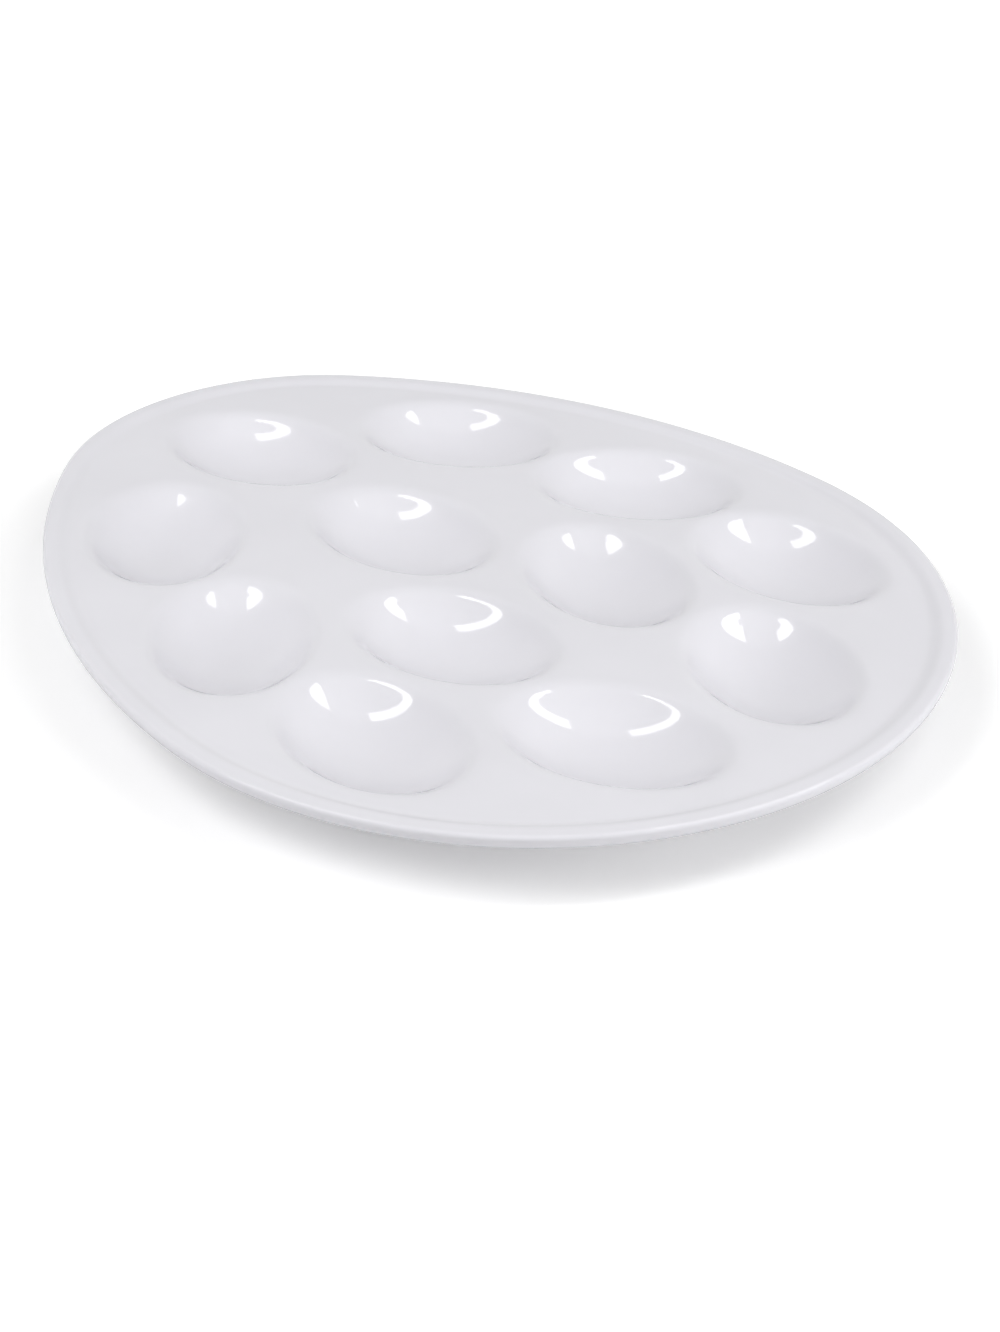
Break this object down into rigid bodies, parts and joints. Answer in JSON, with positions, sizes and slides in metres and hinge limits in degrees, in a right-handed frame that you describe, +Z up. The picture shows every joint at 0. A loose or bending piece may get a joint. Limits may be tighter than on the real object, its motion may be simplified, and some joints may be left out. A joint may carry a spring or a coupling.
{
  "type": "deviled egg platter",
  "caption": "Egg-shaped glazed ceramic serving platter with oval wells for halved boiled eggs, a low raised lip and a foot ring.",
  "frame": {"origin": "centre of the platter's box, on the surface that it stands on", "axes": "+X along the long axis towards the small end, +Z up out of the wells"},
  "size_m": [0.305, 0.246, 0.0205],
  "materials": {
    "white_glaze": "glossy white glaze, faintly cool, over a smooth moulded body",
    "bare_clay": "wiped bare fired clay, matte and slightly rough"
  },
  "bodies": {
    "root": {"platter_body": "white_glaze", "foot_ring": "bare_clay"}
  },
  "joints": []
}
